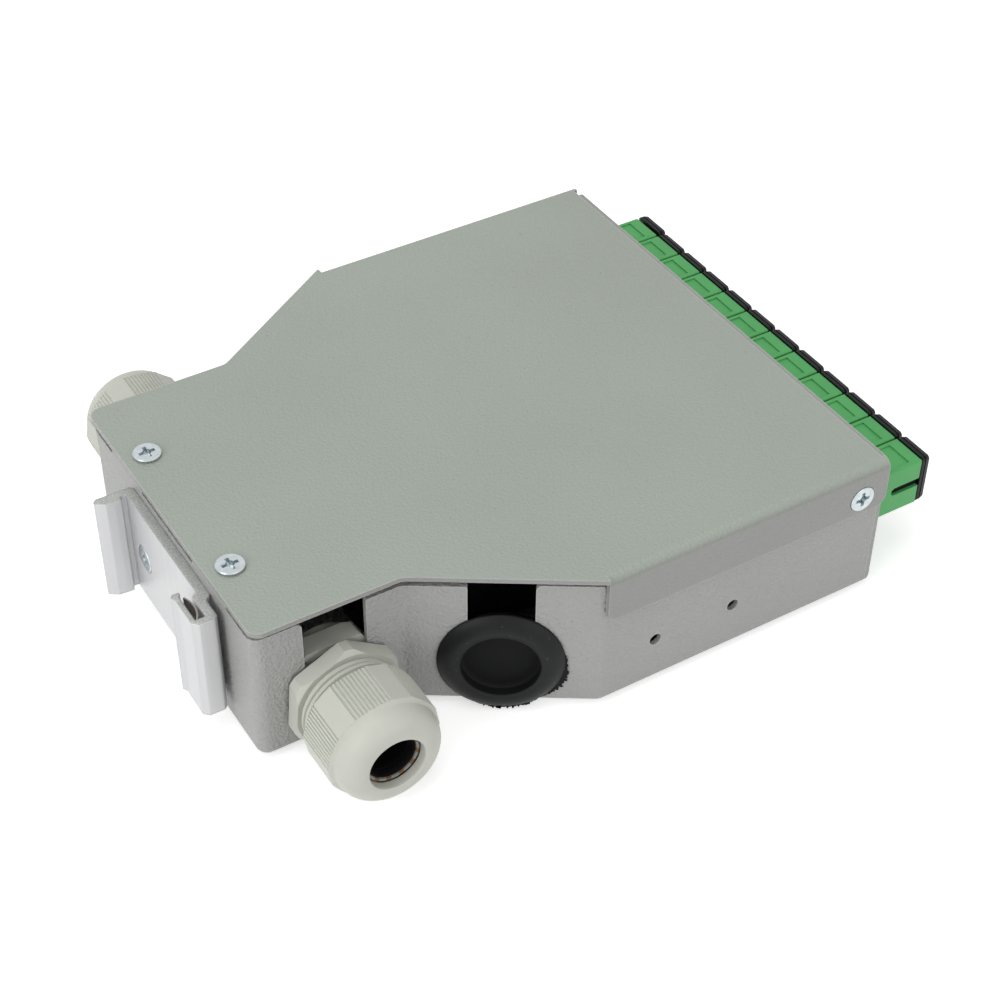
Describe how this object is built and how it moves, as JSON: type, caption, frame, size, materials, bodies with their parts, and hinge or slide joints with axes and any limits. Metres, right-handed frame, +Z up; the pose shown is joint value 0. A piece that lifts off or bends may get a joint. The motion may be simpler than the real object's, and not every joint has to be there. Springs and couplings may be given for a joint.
{
  "type": "din rail fibre box",
  "caption": "Folded steel fibre patch box for a DIN rail: stepped case with cable glands, blanking plugs, a rear rail clip and a front row of capped adapters.",
  "frame": {"origin": "under the middle of the box, on the surface that it stands on", "axes": "+X from the rail clip at the rear to the adapters at the front, +Z up through the top cover"},
  "size_m": [0.1746, 0.137, 0.0402],
  "materials": {
    "case_paint": "fine textured powder coat",
    "cover_paint": "fine textured powder coat",
    "zinc": "bright zinc plate",
    "clip_aluminium": "plain extruded",
    "spring_steel": "plain",
    "ceramic": "ground ceramic",
    "tray_plastic": "moulded",
    "holder_rubber": "moulded",
    "gland_plastic": "satin moulded nylon",
    "seal_rubber": "matt",
    "plug_rubber": "satin moulded",
    "adapter_plastic": "moulded",
    "cap_plastic": "satin moulded"
  },
  "bodies": {
    "root": {"adapter_01": "adapter_plastic", "adapter_02": "adapter_plastic", "adapter_03": "adapter_plastic", "adapter_04": "adapter_plastic", "adapter_05": "adapter_plastic", "adapter_06": "adapter_plastic", "adapter_07": "adapter_plastic", "adapter_08": "adapter_plastic", "adapter_09": "adapter_plastic", "adapter_10": "adapter_plastic", "adapter_11": "adapter_plastic", "adapter_12": "adapter_plastic", "adapter_retainer": "case_paint", "alignment_sleeves": "ceramic", "base_tray": "case_paint", "blanking_plug_far": "plug_rubber", "blanking_plug_near": "plug_rubber", "clip_nuts": "zinc", "clip_screws": "zinc", "cover_nuts": "zinc", "cover_screws": "zinc", "din_clip": "clip_aluminium", "gland_body_far": "gland_plastic", "gland_body_near": "gland_plastic", "gland_locknut_far": "gland_plastic", "gland_locknut_near": "gland_plastic", "gland_seal_far": "seal_rubber", "gland_seal_near": "seal_rubber", "gland_washer_far": "seal_rubber", "gland_washer_near": "seal_rubber", "retainer_nuts": "zinc", "splice_holder": "holder_rubber", "splice_tray": "tray_plastic", "splice_tray_lid": "tray_plastic", "top_cover": "cover_paint", "tray_screws": "zinc", "tray_spacers": "tray_plastic"},
    "cap_01": {"dust_cap_01": "cap_plastic"},
    "cap_02": {"dust_cap_02": "cap_plastic"},
    "cap_03": {"dust_cap_03": "cap_plastic"},
    "cap_04": {"dust_cap_04": "cap_plastic"},
    "cap_05": {"dust_cap_05": "cap_plastic"},
    "cap_06": {"dust_cap_06": "cap_plastic"},
    "cap_07": {"dust_cap_07": "cap_plastic"},
    "cap_08": {"dust_cap_08": "cap_plastic"},
    "cap_09": {"dust_cap_09": "cap_plastic"},
    "cap_10": {"dust_cap_10": "cap_plastic"},
    "cap_11": {"dust_cap_11": "cap_plastic"},
    "cap_12": {"dust_cap_12": "cap_plastic"},
    "gland_nut_near": {"gland_dome_nut_near": "gland_plastic"},
    "gland_nut_far": {"gland_dome_nut_far": "gland_plastic"},
    "leaf_spring": {"clip_leaf_spring": "spring_steel"}
  },
  "joints": [
    {"name": "cap_01_pull", "type": "slide", "parent": "root", "child": "cap_01", "axis": [1, 0, 0], "range_m": [0, 0.012]},
    {"name": "cap_02_pull", "type": "slide", "parent": "root", "child": "cap_02", "axis": [1, 0, 0], "range_m": [0, 0.012]},
    {"name": "cap_03_pull", "type": "slide", "parent": "root", "child": "cap_03", "axis": [1, 0, 0], "range_m": [0, 0.012]},
    {"name": "cap_04_pull", "type": "slide", "parent": "root", "child": "cap_04", "axis": [1, 0, 0], "range_m": [0, 0.012]},
    {"name": "cap_05_pull", "type": "slide", "parent": "root", "child": "cap_05", "axis": [1, 0, 0], "range_m": [0, 0.012]},
    {"name": "cap_06_pull", "type": "slide", "parent": "root", "child": "cap_06", "axis": [1, 0, 0], "range_m": [0, 0.012]},
    {"name": "cap_07_pull", "type": "slide", "parent": "root", "child": "cap_07", "axis": [1, 0, 0], "range_m": [0, 0.012]},
    {"name": "cap_08_pull", "type": "slide", "parent": "root", "child": "cap_08", "axis": [1, 0, 0], "range_m": [0, 0.012]},
    {"name": "cap_09_pull", "type": "slide", "parent": "root", "child": "cap_09", "axis": [1, 0, 0], "range_m": [0, 0.012]},
    {"name": "cap_10_pull", "type": "slide", "parent": "root", "child": "cap_10", "axis": [1, 0, 0], "range_m": [0, 0.012]},
    {"name": "cap_11_pull", "type": "slide", "parent": "root", "child": "cap_11", "axis": [1, 0, 0], "range_m": [0, 0.012]},
    {"name": "cap_12_pull", "type": "slide", "parent": "root", "child": "cap_12", "axis": [1, 0, 0], "range_m": [0, 0.012]},
    {"name": "gland_nut_near_turn", "type": "hinge", "parent": "root", "child": "gland_nut_near", "pos_m": [-0.05878, -0.0425, 0.0139], "axis": [0, -1, 0], "range_deg": [-720, 720]},
    {"name": "gland_nut_far_turn", "type": "hinge", "parent": "root", "child": "gland_nut_far", "pos_m": [-0.05878, 0.0385, 0.0139], "axis": [0, 1, 0], "range_deg": [-720, 720]},
    {"name": "leaf_flex", "type": "hinge", "parent": "root", "child": "leaf_spring", "pos_m": [-0.08347, -0.0287, 0.0209], "axis": [0, 0, 1], "range_deg": [0, 4], "stiffness_Nm_per_rad": 0.5}
  ]
}
